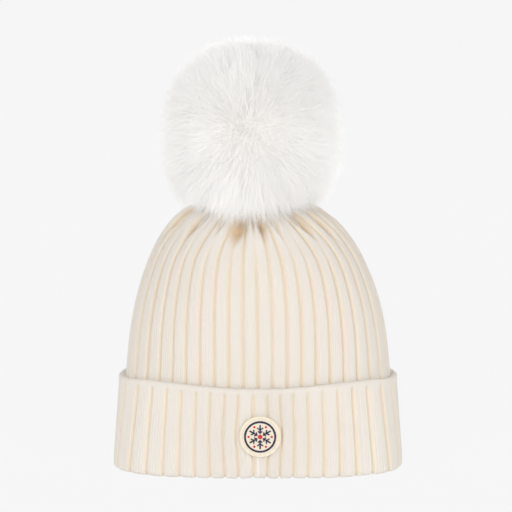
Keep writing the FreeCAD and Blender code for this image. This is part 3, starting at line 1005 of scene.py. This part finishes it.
def washer():
    """The felt washer that spreads the snap's pull over the gathered knit."""
    rng = np.random.default_rng(SEED + 6)
    low, high = box_mm("anchor_washer")
    radius = (high[0] - low[0]) / 2
    hole = radius - box_ring_width("anchor_washer")
    side, spokes, rough = 16, 120, 0.03
    r = np.concatenate([np.linspace(hole, radius, side), np.linspace(radius, hole, side)])
    h = np.repeat([low[2], high[2]], side)
    size = (2 * side, spokes)
    points = turned_skin(np.stack([r, h], 1), spokes, lambda rows, angle: rng.normal(0, rough, size))
    points[..., 2] += rng.normal(0, rough, size)
    parts = [(points, grid_faces(*size, close_rows=True))]
    add_piece("felt_anchor_washer", parts, cream_felt, "hat", "anchor_washer")


def box_ring_width(node):
    """Width of a flat ring: its outer radius less its bore."""
    points = np.array([v.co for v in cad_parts[node].data.vertices]) / MM
    r = np.hypot(points[:, 0] - AXIS_X, points[:, 1])
    return r.max() - r.min()


# ---- pompom -------------------------------------------------------------
neck_low, neck_high = box_mm("fur_backing")
NECK_Z = neck_low[2]
CORE_R = FUR_CORE * FUR_R
UNDERSIDE = math.tan(math.radians(17.0))        # slope of the cone that clears the crown
SOFTNESS = 6.0                  # how gradually the ball turns into the cone
FARTHEST = 400.0                # stands for no cone at all
PIVOT = np.array([AXIS_X, 0.0, CROWN_TOP + 1.0])


def ball_reach(directions, radius, above):
    """Distance from the ball's centre to a ball cut off by a shallow cone over the crown."""
    down, out = -directions[:, 2], np.hypot(directions[:, 0], directions[:, 1])
    drop = FUR_CENTRE[2] - PIVOT[2] - above
    reach = drop / np.maximum(down + UNDERSIDE * out, 0.05)
    cone = np.exp(-np.minimum(reach, FARTHEST) / SOFTNESS)
    return -np.log(np.exp(-radius / SOFTNESS) + cone) * SOFTNESS


def round_directions(count):
    """Directions spread evenly over a sphere."""
    i = np.arange(count) + 0.5
    z = 1 - 2 * i / count
    turn = i * math.pi * (3 - math.sqrt(5))
    flat = np.sqrt(1 - z * z)
    return np.stack([flat * np.cos(turn), flat * np.sin(turn), z], 1)


def combing(directions):
    """How the hair leans at each place on the ball: away from a few partings, and a little down."""
    lean = np.zeros_like(directions)
    for x, y, z, strength, spread in PARTINGS:
        centre = unit(np.array([x, y, z]))
        away = directions - centre
        weight = np.exp(-(np.linalg.norm(away, axis=1) / spread) ** 2)
        lean += strength * weight[:, None] * away
    lean[:, 2] -= 0.10 * smoothstep(0.9, -0.3, directions[:, 2])
    return lean - directions * (lean * directions).sum(1, keepdims=True)


def under_crown(points):
    """How far inside the crown's outside points are, as a share of its size; 0 for those outside."""
    middle, width, depth = (np.interp(points[..., 2], CROWN_LEVELS, column) for column in CROWN_OVALS)
    share = np.hypot((points[..., 0] - middle) / (width + 1.0), points[..., 1] / (depth + 1.0))
    return np.where(points[..., 2] < CROWN_TOP, np.clip(1 - share, 0, 1), 0)


def reach_over_crown(start, end):
    """Share of its length that each hair keeps: one that enters the crown ends a little later."""
    steps = np.linspace(0, 1, 13)
    line = start[:, None] + (end - start)[:, None] * steps[:, None]
    inside = under_crown(line) > 0
    first = np.where(inside.any(1), steps[np.argmax(inside, 1)], 1.0)
    return np.minimum(1.0, first + 0.03)[:, None]


def clear_of_crown(points):
    """Move points out of the crown: up and outwards until they lie on its outside."""
    points = points.copy()
    for _ in range(6):
        inside = under_crown(points)
        points[..., 2] += 9.0 * inside
        points[..., 0] += 0.6 * inside * (points[..., 0] - AXIS_X)
        points[..., 1] += 0.6 * inside * points[..., 1]
    return points


def lean_with_ball(piece):
    """Bakes the piece's place into its mesh."""
    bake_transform(piece)
    return piece


def hair_piece(name, curves, radii, tones):
    """Tapered three-sided hairs as one mesh.  curves: (hair, point, xyz), radii: (hair, point)."""
    hairs, points = curves.shape[:2]
    ahead = unit(curves[:, -1] - curves[:, 0])
    other = np.roll(ahead, 1, axis=1) + 0.3
    side = unit(np.cross(ahead, other))
    up = np.cross(ahead, side)
    rings = []
    for k in range(3):
        turn = 2 * math.pi * k / 3
        out = side * math.cos(turn) + up * math.sin(turn)
        rings.append(curves[:, :-1] + out[:, None] * radii[:, :-1, None])
    body = np.stack(rings, 2).reshape(hairs, -1, 3)
    all_points = np.concatenate([body, curves[:, -1:]], 1)
    pattern = [(0, 2, 1)]
    for i in range(points - 2):
        for k in range(3):
            a, b = 3 * i + k, 3 * i + (k + 1) % 3
            pattern += [(a, b, b + 3), (a, b + 3, a + 3)]
    last, tip = 3 * (points - 2), 3 * (points - 1)
    pattern += [(last + k, last + (k + 1) % 3, tip) for k in range(3)]
    pattern = np.array(pattern)
    faces = (pattern[None] + (np.arange(hairs) * (tip + 1))[:, None, None]).reshape(-1, 3)
    tone_of_face = np.repeat(tones, len(pattern))
    return lean_with_ball(make_mesh(name, all_points, faces, hair_tones, tone_of_face, smooth=False))


def grow(rng, count, root, tip, tip_spread, tuft_pull, scatter, levels):
    """Curves of hairs: from roots in the core, out along the ball's radius, then leaning to their tuft."""
    directions = unit(round_directions(count) + rng.normal(0, 0.012, (count, 3)))
    directions = directions[directions[:, 2] > -0.93]
    down, count = -directions[:, 2], len(directions)
    tufts = unit(round_directions(TUFTS) + rng.normal(0, 0.03, (TUFTS, 3)))
    tuft_lean = rng.normal(0, 0.045, (TUFTS, 3))
    tuft_size = rng.normal(0, 0.014, TUFTS)
    nearest = np.concatenate([np.argmax(part @ tufts.T, 1) for part in np.array_split(directions, 12)])
    lean = combing(directions) + tuft_lean[nearest] + rng.normal(0, scatter, (count, 3))
    heading = unit(directions * (1 - tuft_pull) + tufts[nearest] * tuft_pull + lean)
    from_root = ball_reach(directions, CORE_R, 5.0)[:, None] * root
    share = tip + tuft_size[nearest] + rng.normal(0, tip_spread, count)
    slope = np.degrees(np.arcsin(np.clip(down, -1, 1)))
    # The ball bulges between its axes and low down, and is pulled in underneath except in the beard
    # of hair that hangs over the front of the crown.
    fullness = 1.01 + 0.04 * np.sin(np.radians(2 * slope)) ** 2 + 0.12 * np.exp(-((slope - 33) / 20) ** 2)
    lower = smoothstep(0.3, 0.8, down)
    beard = np.exp(-((heading[:, 0] - 0.05) / 0.3) ** 2) * (heading[:, 1] < 0)
    fullness = fullness - 0.07 * smoothstep(48, 65, slope) * (1 - beard)
    to_tip = FUR_R * (share * fullness)[:, None]
    sag = lower * (1.5 + 1.8 * beard + rng.normal(0, 1.0, count))
    start = FUR_CENTRE + directions * from_root
    halfway = 0.45 * from_root + 0.55 * to_tip
    middle = FUR_CENTRE + unit(directions + 0.35 * (heading - directions)) * halfway
    end = FUR_CENTRE + heading * to_tip
    end[:, 2] -= sag
    middle[:, 2] -= 0.3 * sag
    reach = reach_over_crown(start, end)
    middle = start + (middle - start) * reach
    end = start + (end - start) * reach
    t = np.array(levels)[None, :, None]
    curve = (1 - t) ** 2 * start[:, None] + 2 * t * (1 - t) * middle[:, None] + t ** 2 * end[:, None]
    crimp = rng.normal(0, 0.35, (count, len(levels), 3)) * np.clip(t * 1.5, 0, 1)
    return curve + crimp


def fur():
    """Guard hairs over shorter underfur, in pieces of the same make."""
    # Name, number, root as a share of the core and tip as a share of the ball, spread of the tips,
    # pull to the tuft, scatter, places of the points along a hair, and thickness.
    coats = [
        ("guard", GUARD_HAIRS, 0.93, 0.985, 0.03, 0.22, 0.07, (0.0, 0.35, 0.62, 0.84, 1.0), 0.115),
        ("under", UNDER_HAIRS, 0.95, 0.925, 0.022, 0.2, 0.16, (0.0, 0.4, 0.75, 1.0), 0.16),
    ]
    for coat, (name, count, root, tip, spread, pull, scatter, levels, thick) in enumerate(coats):
        rng = np.random.default_rng(SEED + 20 + coat)
        curves = clear_of_crown(grow(rng, count, root, tip, spread, pull, scatter, levels))
        taper = thick * (1 - np.array(levels)) ** 0.6
        radii = taper[None] * rng.uniform(0.75, 1.2, len(curves))[:, None]
        tones = rng.choice(len(hair_tones), len(curves), p=TONE_SHARES)
        order = rng.permutation(len(curves))
        for i, chosen in enumerate(np.array_split(order, math.ceil(len(curves) / HAIRS_PER_PIECE))):
            title = "fur_%s_%d" % (name, i + 1)
            hair_piece(title, curves[chosen], radii[chosen], tones[chosen])


def ball_grid(polar, spokes):
    """Directions in rings round the vertical, at some angles from it."""
    polar, turn = polar[:, None], round_angles(spokes)[None, :]
    flat = np.sin(polar)
    return np.stack([flat * np.cos(turn), flat * np.sin(turn), np.cos(polar) + 0 * turn], -1)


def fur_core():
    """The dense underfur in the middle, which closes the gaps between the hairs."""
    rng = np.random.default_rng(SEED + 30)
    rings, spokes = 150, 240
    directions = ball_grid(np.linspace(0.004, math.pi - 0.22, rings), spokes).reshape(-1, 3)
    lumps = np.zeros(len(directions))
    for _ in range(46):
        wave = rng.normal(0, 9.0, 3)
        lumps += np.sin(directions @ wave + rng.uniform(0, 6.28)) / 6.8
    reach = ball_reach(directions, CORE_R, 4.0) + 1.3 * lumps + rng.normal(0, 0.35, len(directions))
    skin = (FUR_CENTRE + directions * reach[:, None]).reshape(rings, spokes, 3)
    steps = np.linspace(0, 1, 8)[1:, None, None]
    hub = np.array([AXIS_X, 0, skin[-1, :, 2].max() + 16.0])
    closing = skin[-1] + (hub - skin[-1]) * steps * 0.995
    points = np.concatenate([skin, closing])
    faces = grid_faces(len(points), spokes)[:, ::-1]
    lean_with_ball(make_mesh("fur_underfur_core", points, faces, [underfur]))


def backing_bag():
    """The cloth bag that the hair grows from, gathered into its neck by the drawstring."""
    rng = np.random.default_rng(SEED + 31)
    radius = (neck_high[0] - neck_low[0]) / 2
    neck = 10.8
    start = math.pi - math.asin(neck / radius) - 0.05
    polar = np.linspace(0.02, start, 70)
    ball = np.stack([radius * np.sin(polar), FUR_CENTRE[2] + radius * np.cos(polar)], 1)
    tube = np.stack([np.full(26, neck), np.linspace(ball[-1, 1] - 1, NECK_Z + 2.4, 26)], 1)
    outside = np.concatenate([ball, tube])
    inside = outside[::-1].copy()
    inside[:, 0] = np.maximum(inside[:, 0] - 1.5, 0.3)
    inside[-60:, 1] -= 1.0
    rows = np.concatenate([outside, inside])
    phase = rng.uniform(0, 6.28)

    def gathers(rows, angle):
        deep = smoothstep(FUR_CENTRE[2] - 8, NECK_Z + 14, rows[:, 1:2])
        return -0.7 * deep * (1 + np.sin(26 * angle + phase + 0.5 * np.sin(5 * angle)))

    points = turned_skin(rows, 260, gathers)
    parts = [(points, grid_faces(len(rows), 260, close_rows=True)[:, ::-1])]
    add_piece("fur_backing_bag", parts, cream_felt, "pompom", "fur_backing")


def filling():
    """A loose ball of fibre inside the bag."""
    rng = np.random.default_rng(SEED + 32)
    low, high = box_mm("fibre_fill")
    radius = (high[0] - low[0]) / 2 - 1.2
    rings, spokes = 90, 140
    directions = ball_grid(np.linspace(0.01, math.pi - 0.01, rings), spokes)
    lumps = np.zeros((rings, spokes))
    for _ in range(40):
        lumps += np.sin(directions @ rng.normal(0, 7.0, 3) + rng.uniform(0, 6.28)) / 6.3
    middle = (low + high) / 2
    piece = make_mesh("fibre_filling", middle + directions * (radius + 0.5 * lumps)[..., None],
                      grid_faces(rings, spokes)[:, ::-1], [fibre])
    finish_piece(piece, "pompom", "fibre_fill")


def drawstring():
    """The doubled yarn round the neck of the bag."""
    low, high = box_mm("drawstring_thread")
    thread = (high[2] - low[2] - 0.1) / 4
    loops = yarn_rings(low[2], high[2], thread, (high[0] - low[0]) / 2 - thread, twists=30)
    add_piece("drawstring_yarn", loops, cream_yarn, "pompom", "drawstring_thread")


def dress_snap():
    """The snap's CAD nodes keep their shapes and get worn brass and moulded plastic."""
    brass = brass_material()
    for node in ("snap_cap_inside", "snap_socket", "snap_spring", "snap_stud", "snap_stud_cap"):
        dress(node, brass)
    dress("pompom_base_disc", plastic_material())


def dress(node, material):
    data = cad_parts[node].data
    if not data.materials:
        data.materials.append(material)
    for i in range(len(data.materials)):
        data.materials[i] = material


# ---- camera and studio --------------------------------------------------
def camera():
    data = bpy.data.cameras.new("camera")
    data.sensor_width = SENSOR / MM
    data.lens = SENSOR / MM * CAMERA_DISTANCE / PICTURE_WIDTH
    data.clip_end = FAR_AWAY
    eye = bpy.data.objects.new("camera", data)
    bpy.context.scene.collection.objects.link(eye)
    tilt = math.radians(CAMERA_ELEVATION)
    eye.location = PICTURE_CENTRE + CAMERA_DISTANCE * Vector((0, -math.cos(tilt), math.sin(tilt)))
    eye.rotation_euler = (0.5 * math.pi - tilt, 0, 0)
    bpy.context.scene.camera = eye


def light(name, place, share):
    data = bpy.data.lights.new(name, "AREA")
    data.size = LAMP_SIZE
    data.energy = share * KEY_POWER
    lamp = bpy.data.objects.new(name, data)
    bpy.context.scene.collection.objects.link(lamp)
    lamp.location = place
    lamp.visible_camera = False
    lamp.rotation_euler = (LAMPS_AIM - Vector(place)).to_track_quat("-Z", "Y").to_euler()


def studio():
    """A white studio: a glowing pale floor, an even sky and five large soft lamps."""
    world = bpy.data.worlds.new("studio")
    bpy.context.scene.world = world
    world.use_nodes = True
    sky = world.node_tree.nodes["Background"]
    sky.inputs["Color"].default_value = (0.985, 0.99, 1.0, 1.0)
    sky.inputs["Strength"].default_value = SKY
    for lamp in LAMPS:
        light(*lamp)
    n = Nodes("pale_floor")
    n.set(Base_Color=colour(0.03, 0.03, 0.03), Roughness=1.0, Specular_IOR_Level=0.0,
          Emission_Color=colour(1.0, 1.0, 1.0), Emission_Strength=FLOOR_GLOW)
    corners = [(x * FLOOR_HALF, y * FLOOR_HALF, 0) for x, y in ((-1, -1), (1, -1), (1, 1), (-1, 1))]
    floor = make_mesh("floor", corners, [(0, 1, 2, 3)], [n.material])
    bpy.context.scene.cycles.max_bounces = BOUNCES
    bpy.context.scene.cycles.diffuse_bounces = BOUNCES
    bpy.context.scene.view_settings.view_transform = "Standard"
    bpy.context.scene.view_settings.look = "None"


# ---- the whole hat ------------------------------------------------------
knit = knit_material()
cream_felt = felt_material("felt_cream", colour(0.78, 0.69, 0.54), colour(0.83, 0.75, 0.62))
cream_yarn = thread_material("yarn_cream", colour(0.80, 0.72, 0.58), colour(0.86, 0.79, 0.66), 0.8)
navy_thread = thread_material("thread_navy", colour(0.012, 0.012, 0.045), colour(0.030, 0.028, 0.085))
red_thread = thread_material("thread_red", colour(0.52, 0.012, 0.022), colour(0.76, 0.030, 0.045))

underfur = fluff_material("underfur", colour(0.90, 0.875, 0.84), colour(0.95, 0.935, 0.915))
fibre = fluff_material("fibre", colour(0.88, 0.88, 0.87), colour(0.95, 0.95, 0.94))
satin = satin_material()
hair_tones = hair_materials()

camera()
studio()
crown()
cuff()
badge()
gather_thread()
back_seam()
care_label()
label_stitches()
washer()
dress_snap()
drawstring()
filling()
backing_bag()
fur_core()
fur()
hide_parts("fur_pile")
